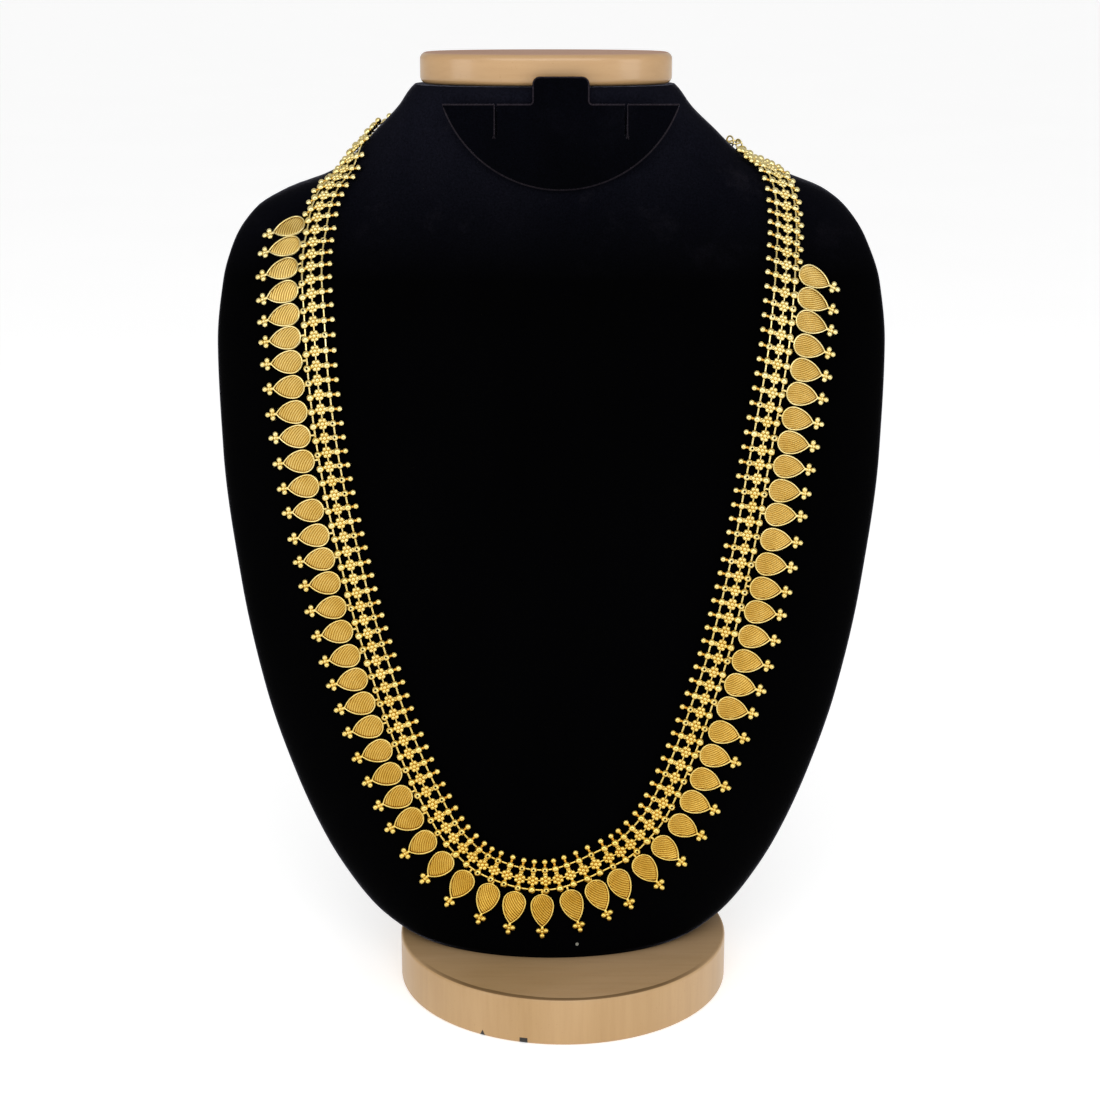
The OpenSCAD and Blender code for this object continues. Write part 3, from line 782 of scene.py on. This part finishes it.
def makeCard():
    outline = cardOutline()
    curve = bpy.data.curves.new("cardShape", "CURVE")
    curve.dimensions = "2D"
    curve.fill_mode = "BOTH"
    line = curve.splines.new("POLY")
    line.points.add(len(outline) - 1)
    for point, (x, y) in zip(line.points, outline):
        point.co = (x, y, 0, 1)
    line.use_cyclic_u = True
    curve.extrude = cardLook["t"] / 2 - cardLook["edge"]
    curve.bevel_depth = cardLook["edge"]
    curve.offset = -cardLook["edge"]
    curve.bevel_resolution = 2
    item = bpy.data.objects.new("cardShape", curve)
    bpy.context.collection.objects.link(item)
    solid = bpy.data.meshes.new_from_object(item.evaluated_get(bpy.context.evaluated_depsgraph_get()))
    bpy.data.objects.remove(item)
    points = np.array([v.co for v in solid.vertices])
    points[:, 2] += cardLook["t"] / 2
    quads = [list(p.vertices) for p in solid.polygons if len(p.vertices) == 4]
    triangles = [list(p.vertices) for p in solid.polygons if len(p.vertices) == 3]
    card = form(points, quads, triangles)
    high = cardLook["t"] - 0.15
    moon = cardLook["moonSteps"]
    forms = [card]
    # One side of each slit has no piping
    for line in (np.roll(outline, 2, axis=0)[:moon + 4], outline[moon + 3:-3]):
        forms.append(wire(np.c_[line, np.full(len(line), high)], cardLook["piping"], 6, finish=1))
    for side in (-1, 1):  # loose threads at the foot of each slit
        foot = np.array([side * (cardLook["slitX"] + cardLook["slitHalf"]), -cardLook["slit"], high])
        for _ in range(cardLook["threads"]):
            away = np.array([dice.uniform(-0.8, 0.8), -dice.uniform(0.5, 1.7), dice.uniform(0.1, 0.5)])
            path = [foot, foot + away * (0.6, 0.5, 1), foot + away]
            forms.append(wire(path, cardLook["thread"], 5, finish=1))
    whole = placed(joined(forms), cardFrame())
    cloths = [velvetMaterial("cardCloth", clothLook), velvetMaterial("cardPiping", pipingLook)]
    makePiece("earringCard", whole, cloths, ["earring_card"], sharp=50)


makeCard()

print("band")

# The low tint makes the gold deeper towards the bottom: painted shade.
goldLook = {
    "bright": (0.82, 0.71, 0.38), "deep": (0.72, 0.57, 0.22), "rough": (0.12, 0.24),
    "grainScale": 2600, "bump": 0.2, "low": (0.93, 0.8, 0.42), "paintedShadeFrom": 40, "paintedShadeTo": 260,
}
# A deeper gold for the necks between the beads: painted shade in the crevices.
paintedCreviceShadeLook = {**goldLook, "bright": (0.78, 0.49, 0.13), "deep": (0.66, 0.37, 0.07), "rough": (0.25, 0.4)}
# Near black for the inside of the holes in the pierced domes: painted shade.
paintedHoleShadeLook = {**goldLook, "bright": (0.1, 0.06, 0.02), "deep": (0.05, 0.03, 0.01), "rough": (0.5, 0.7)}
ballLook = {
    "edge": 1.19, "dome": 1.5, "petal": 0.85, "petalRing": 1.46, "middle": 0.88, "neck": 0.58,
    "spread": 0.03, "holed": 0.4, "plateWire": 0.3, "plateStep": 0.5, "turns": 18,
}
wireLook = {"inner": 0.4, "flower": 0.32, "outer": 0.4}
gold = goldMaterial("beadGold", goldLook)
paintedCreviceShade = goldMaterial("paintedCreviceShadeGold", paintedCreviceShadeLook)
paintedHoleShade = goldMaterial("paintedHoleShadeGold", paintedHoleShadeLook)

# Turned outlines of the domes and of the plate under a flower, as radius and height
domeBody = [(0, -1.0), (0.62, -0.95), (1.02, -0.68), (1.22, -0.3),
            (1.27, 0.05), (1.22, 0.38), (1.06, 0.72), (0.82, 0.98)]
plainTop = [(0.52, 1.16), (0.24, 1.24), (0, 1.26)]
holedTop = [(0.58, 1.13), (0.44, 1.18), (0.34, 1.13), (0.3, 0.95), (0.28, 0.4), (0, 0.35)]
web = [(0, -0.45), (2, -0.45), (2.08, -0.1), (1.65, 0.25), (0, 0.3)]


def sizes(count, size):
    return size * (1 + dice.uniform(-1, 1, count) * ballLook["spread"])


def spanned(frames, start, end):
    origins, xs, ys, zs = frames
    a, b = (origins + p[:, :1] * xs + p[:, 1:2] * ys + p[:, 2:] * zs for p in (start, end))
    along = unit(b - a)
    across = unit(np.cross(zs, along))
    return a, along, across, np.cross(along, across)


def domeForms():
    plain, holed = (turned(domeBody + top, ballLook["turns"]) for top in (plainTop, holedTop))
    # The inside of each hole takes the third finish, painted shade.
    for kind in ("quads", "triangles"):
        p = holed["points"][holed[kind]].mean(1)
        holed[kind[:-1] + "Finish"][(np.hypot(p[:, 0], p[:, 1]) < 0.33) & (p[:, 2] > 0)] = 2
    return plain, holed


def makeBand(name, bars, nodes):
    frames = picked(barFrames, bars)
    count = len(bars)
    ends = isPlain[bars]

    def at(x, y):
        return np.c_[np.full(count, x), y, np.zeros(count)]

    edge = at(0, np.zeros(count))
    inner = at(band["innerDome"], -bow[bars] * band["innerDome"] / band["flower"])
    flower = at(band["flower"], -bow[bars])
    outer = at(band["outerDome"], np.zeros(count))
    end = at(band["outerBall"][0], down[bars] * band["outerBall"][1])
    forms = [placed(ball(5), frames, edge, sizes(count, ballLook["edge"]))]
    for middle in (inner, outer):
        spots = middle + dice.normal(0, 0.04, (count, 3)) * (1, 1, 0)
        size = sizes(count, ballLook["dome"] / max(domeBody)[0])
        pierced = dice.random(count) < ballLook["holed"]
        for dome, mask in zip(domeForms(), (~pierced, pierced)):
            forms.append(placed(dome, picked(frames, mask), spots[mask], size[mask]))
    for k in range(6):
        a = math.radians(60 * k)
        petal = flower + ballLook["petalRing"] * np.array([math.cos(a), math.sin(a), 0.0])
        forms.append(placed(ball(4), frames, petal, sizes(count, ballLook["petal"])))
    forms.append(placed(ball(4), frames, flower + (0, 0, 0.35), sizes(count, ballLook["middle"])))
    forms.append(placed(turned(web, ballLook["turns"]), frames, flower))
    # The necks take the second finish, the deeper gold of painted crevice shade.
    neck = ballLook["neck"]
    outside = band["outerDome"] - band["flower"]
    for between, start, stop in ((spanned(frames, edge, inner), 0.7, band["innerDome"] - 0.9),
                                 (spanned(frames, flower, outer), 1.7, outside - 0.9)):
        path = [(x, 0, -0.1) for x in (start, (start + stop) / 2, stop)]
        forms.append(placed(wire(path, [neck, neck * 0.9, neck], 8, finish=1), between))
    reach = band["flower"] - band["innerDome"] - 1.5
    for side in (-1, 0, 1):
        y = side * ballLook["plateStep"]
        bridge = wire([(1, y, 0.1), (reach, y, 0.1)], ballLook["plateWire"], 8)
        forms.append(placed(bridge, spanned(frames, inner, flower)))
    if ends.any():
        forms.append(placed(ball(5), picked(frames, ends), end[ends], sizes(ends.sum(), ballLook["edge"])))
        span = math.dist((band["outerDome"], 0), band["outerBall"])
        link = wire([(0.9, 0, -0.1), (span - 0.7, 0, -0.1)], neck * 0.85, 8, finish=1)
        forms.append(placed(link, picked(spanned(frames, outer, end), ends)))
    makePiece(name, joined(forms), [gold, paintedCreviceShade, paintedHoleShade], nodes)


def barSpots(x, lean, z):
    origins, xs, ys, zs = barFrames
    return origins + x * xs - (lean * bow)[:, None] * ys + z * zs


def makeRowWires():
    forms = []
    for x, lean, radius in ((band["innerDome"], band["innerDome"] / band["flower"], wireLook["inner"]),
                            (band["flower"], 1, wireLook["flower"]),
                            (band["outerDome"], 0, wireLook["outer"])):
        forms.append(wire(curved(barSpots(x, lean, -0.1), 2), radius, 8))
    makePiece("rowWires", joined(forms), [gold])


halfBars = band["bars"] // 2
makeBand("bandLeft", barNumbers[: halfBars + 1], ["band_left"])
makeBand("bandRight", barNumbers[halfBars + 1:], ["band_right"])
makeRowWires()

print("leaves")

leafLook = {
    "rimWire": 0.3, "rimHigh": 0.34, "ribs": 12, "rowsPerRib": 6, "ribHeight": 0.16,
    "crown": 0.5, "groove": 0.6,
    "ribTurn": (56, 35, 22),  # degrees at the left end, the bottom and the right end
    "ribSpread": 7, "ribBend": 0.04, "ribFan": 0.02,
    "trefoil": 1.1, "trefoilAt": 1.3, "trefoilSide": 1.4, "link": 0.4,
    "swell": 0.3,  # wider than the plain plate by this much
}
# Its low tint is painted shade as well.
leafGoldLook = {
    "bright": (0.7, 0.53, 0.2), "deep": (0.61, 0.43, 0.12), "rough": (0.36, 0.5),
    "grainScale": 3200, "bump": 0.4, "low": (0.93, 0.8, 0.4), "paintedShadeFrom": 40, "paintedShadeTo": 260,
}
leafGold = goldMaterial("leafGold", leafGoldLook)
# Deeper gold for the rib valleys and the groove inside the rim: painted shade.
paintedValleyShadeLook = {**leafGoldLook, "bright": (0.44, 0.26, 0.05), "deep": (0.35, 0.19, 0.03)}
paintedValleyShade = goldMaterial("paintedValleyShade", paintedValleyShadeLook)
rimGold = goldMaterial("rimGold", {**goldLook, "rough": (0.2, 0.34)})


def leafOutline(inset, steps=20):
    w, tip = leaf["width"] + leafLook["swell"], leaf["tip"] + leafLook["swell"] / 2
    arc = (tip**2 + (w / 2) ** 2) / w
    r = arc - inset
    sink = arc - w / 2
    blunt = w / 2 - inset
    end = math.acos(sink / r)
    turns, sweep = (np.linspace(0, most, steps, endpoint=False) for most in (math.pi, end))
    back = [(-blunt * math.sin(a), blunt * math.cos(a)) for a in turns]
    low = [(r * math.sin(a), sink - r * math.cos(a)) for a in sweep]
    high = [(r * math.sin(a), r * math.cos(a) - sink) for a in np.linspace(end, 0, steps, endpoint=False)]
    return np.array(back + low + high)


def leafFace(turn):
    edge = leafOutline(leafLook["rimWire"] * 1.2, 60)
    a = math.radians(turn)
    along, across = np.array([math.cos(a), math.sin(a)]), np.array([-math.sin(a), math.cos(a)])
    t = edge @ along
    d = (edge @ across - leafLook["ribBend"] * t**2) / (1 + leafLook["ribFan"] * t)
    low, high = d.min(), d.max()
    perRib = leafLook["rowsPerRib"]
    count = leafLook["ribs"] * perRib
    offsets = low + (high - low) * (np.arange(count + 1) + 0.02) / (count + 0.04)
    shares = np.array([0, 0.035, 0.1, 0.22, 0.4, 0.6, 0.78, 0.9, 0.965, 1])
    t2, d2 = np.roll(t, -1), np.roll(d, -1)
    rows = []
    for offset in offsets:
        cross = (d - offset) * (d2 - offset) <= 0
        step = np.where(d2[cross] == d[cross], 1, d2[cross] - d[cross])
        cuts = t[cross] + (t2[cross] - t[cross]) * (offset - d[cross]) / step
        rows.append((cuts.min(), cuts.max()))
    rows = np.array(rows)
    tt = rows[:, :1] + (rows[:, 1:] - rows[:, :1]) * shares
    dd = offsets[:, None] * (1 + leafLook["ribFan"] * tt) + leafLook["ribBend"] * tt**2
    xy = tt[..., None] * along + dd[..., None] * across
    away = np.min(np.linalg.norm(xy[:, :, None] - edge[None, None], axis=-1), axis=-1)
    rise = np.clip(away / leafLook["groove"], 0, 1)
    rise = rise * rise * (3 - 2 * rise)
    swell = np.clip(away / 3.6, 0, 1) ** 0.7
    wave = np.cos(np.arange(count + 1) * 2 * math.pi / perRib)[:, None]
    z = leafLook["crown"] * (0.35 * rise + 0.65 * swell) + leafLook["ribHeight"] * wave * rise - 0.05
    points = np.dstack([xy, z]).reshape(-1, 3)
    wide = len(shares)
    i, j = (v.ravel() for v in np.meshgrid(np.arange(count), np.arange(wide - 1), indexing="ij"))
    quads = np.c_[i * wide + j, i * wide + j + 1, (i + 1) * wide + j + 1, (i + 1) * wide + j]
    face = form(points, quads)
    # Rib valleys and the groove along the rim take the third finish: painted shade.
    paintedShadeFaces = np.broadcast_to(wave, away.shape).ravel()[quads].mean(1) < -0.4
    face["quadFinish"][paintedShadeFaces | (away.ravel()[quads].mean(1) < leafLook["groove"] * 0.6)] = 2
    return face


def leafBody():
    outer, inner = leafOutline(0.1), leafOutline(leafLook["rimWire"])
    count = len(outer)
    edges = ((inner, -0.5), (outer, -0.3), (outer, 0.2), (inner, 0.1))
    rings = [np.c_[line, np.full(count, z)] for line, z in edges]
    shell = stacked(rings, finish=1, caps=(False, False))
    plate = form(np.vstack([np.c_[inner, np.full(count, -0.5)], [[1, 0, -0.5]]]), (),
                 np.c_[np.full(count, count), (np.arange(count) + 1) % count, np.arange(count)], finish=1)
    rim = wire(np.c_[inner, np.full(count, leafLook["rimHigh"])], leafLook["rimWire"], 8, True, finish=1)
    tip = leaf["tip"]
    big, beside, aside = leafLook["trefoil"], tip + leafLook["trefoilAt"], leafLook["trefoilSide"]
    parts = [shell, plate, rim]
    end = tip + leaf["trefoilEnd"]
    for x, y, z, size in ((beside, aside, 0, big), (beside, -aside, 0, big), (end, 0, 0, big),
                          (tip + 1.7, 0, -0.1, 0.8)):
        bead = shaped(ball(4), size, (x, y, z))
        bead["quadFinish"][:] = 1
        parts.append(bead)
    stem = [(tip - 0.5, 0, 0.1), (tip + 0.6, 0, 0), (tip + 1.6, 0, -0.05)]
    parts.append(wire(stem, [0.62, 0.6, 0.66], 8, finish=1))
    thick, heel = leafLook["link"], -leaf["width"] / 2
    # The link from the leaf to its dome
    link = [(heel + 0.3, 0, 0.05), (heel - 0.5, 0, 0.15), (-leaf["fromDome"], 0, 0.35)]
    parts.append(wire(link, [thick, thick * 1.2, thick], 8, finish=1))
    return joined(parts)


def makeLeaves(name, drops, nodes):
    frames = tuple(v[drops] for v in dropFrames)
    forms = [placed(leafBody(), frames)]
    for k in drops:
        turn = np.interp(k, [0, (band["drops"] - 1) / 2, band["drops"] - 1], leafLook["ribTurn"])
        face = leafFace(turn + dice.uniform(-1, 1) * leafLook["ribSpread"])
        forms.append(placed(face, tuple(v[k:k + 1] for v in dropFrames)))
    makePiece(name, joined(forms), [leafGold, rimGold, paintedValleyShade], nodes)


halfDrops = band["drops"] // 2
makeLeaves("leavesLeft", dropNumbers[: halfDrops + 1], ["leaves_left"])
makeLeaves("leavesRight", dropNumbers[halfDrops + 1:], ["leaves_right"])

print("back chain")

chainLook = {
    "ring": 2.1, "wire": 0.35, "pitch": 3.1, "lift": 2.1, "turn": 45,
    "loop": 1.5, "loopAt": 3, "loopToRing": 2.45,
}
claspLook = {"l": 13, "r": 2.2, "neck": 1.1, "grooves": 11, "turns": 40}


def flowerSpot(i):
    origins, xs, ys, zs = barFrames
    return onBust(origins[i] + band["flower"] * xs[i] - bow[i] * ys[i])


backWay = makeWay([
    flowerSpot(0), [-51, 88, 311], [-39, 91, 312.5], [-24, 92.5, 312.5], [-5, 93, 311.5],
    [15, 92, 309], [37, 86, 310], [55, 82.5, 304.5], [60.5, 76, 305.5], flowerSpot(band["bars"] - 1)])
claspHalf = claspLook["l"] / 2 + claspLook["neck"]
halfRun = backWay["length"] / 2 - chainLook["loopAt"] - 2 * chainLook["loopToRing"] - claspHalf
ringSteps = 2 * math.ceil(halfRun / chainLook["pitch"] / 2)


def backFrame(s, lift, turn):
    p = spot(backWay, s)
    off = unit(steepest(p))
    x = aheadAt(backWay, s)
    z = unit(off - x * dot(x, off))
    y = np.cross(z, x)
    a = math.radians(turn)
    y, z = y * math.cos(a) + z * math.sin(a), z * math.cos(a) - y * math.sin(a)
    return tuple(v[None] for v in (p + lift * off, x, y, z))


def ring(radius, thick, turns=36):
    a = np.arange(turns) * 2 * math.pi / turns
    return wire(np.c_[radius * np.cos(a), radius * np.sin(a), np.zeros(turns)], thick, 10, True)


def makeBackChain():
    forms = []
    for side in (0, 1):
        for k in range(ringSteps + 1):
            s = chainLook["loopAt"] + chainLook["loopToRing"] + k * halfRun / ringSteps
            turn = -chainLook["turn"] if k % 2 == 0 else chainLook["turn"]
            frames = backFrame(s if side == 0 else backWay["length"] - s, chainLook["lift"], turn)
            forms.append(placed(ring(chainLook["ring"], chainLook["wire"]), frames))
    makePiece("backChain", joined(forms), [gold], ["back_chain"])
    loops, loop = [], ring(chainLook["loop"], chainLook["wire"])
    for s in (chainLook["loopAt"], backWay["length"] - chainLook["loopAt"]):
        loops.append(placed(loop, backFrame(s, band["lift"] + 0.1, chainLook["turn"])))
    makePiece("endLoops", joined(loops), [gold])


def makeClasp():
    half, r = claspLook["l"] / 2, claspLook["r"]
    profile = [(0, -half - 0.4), (0.8, -half - 0.4), (0.8, -half)]
    profile += [(r - 0.5, -half + 0.05), (r - 0.45, -half + 0.7), (r, -half + 0.85), (r, -half + 1.7),
                (r - 0.3, -half + 1.85)]
    count = claspLook["grooves"]
    for k in range(count):  # turned grooves along the barrel
        z = -half + 2.1 + k * (2 * half - 4.2) / (count - 1)
        if k == count // 2:  # the joint between its halves
            profile += [(r - 0.55, z - 0.15), (r - 0.55, z + 0.15)]
        else:
            profile += [(r - 0.3, z - 0.22), (r - 0.12, z), (r - 0.3, z + 0.22)]
    profile += [(wide, -z) for wide, z in reversed(profile[:8])]
    barrel = turned(profile, claspLook["turns"])
    barrel["points"] = barrel["points"][:, [2, 0, 1]]
    middle = backWay["length"] / 2
    forms = [placed(barrel, backFrame(middle, claspLook["r"] + gap, 0))]
    o, x, y, z = backFrame(middle, claspLook["r"] + gap, chainLook["turn"])
    for side in (-1, 1):
        forms.append(placed(ring(chainLook["loop"], chainLook["wire"]), (o + side * claspHalf * x, x, y, z)))
    makePiece("claspBarrel", joined(forms), [gold], ["clasp"], sharp=45)


makeBackChain()
makeClasp()

bpy.context.scene.view_settings.view_transform = "Standard"
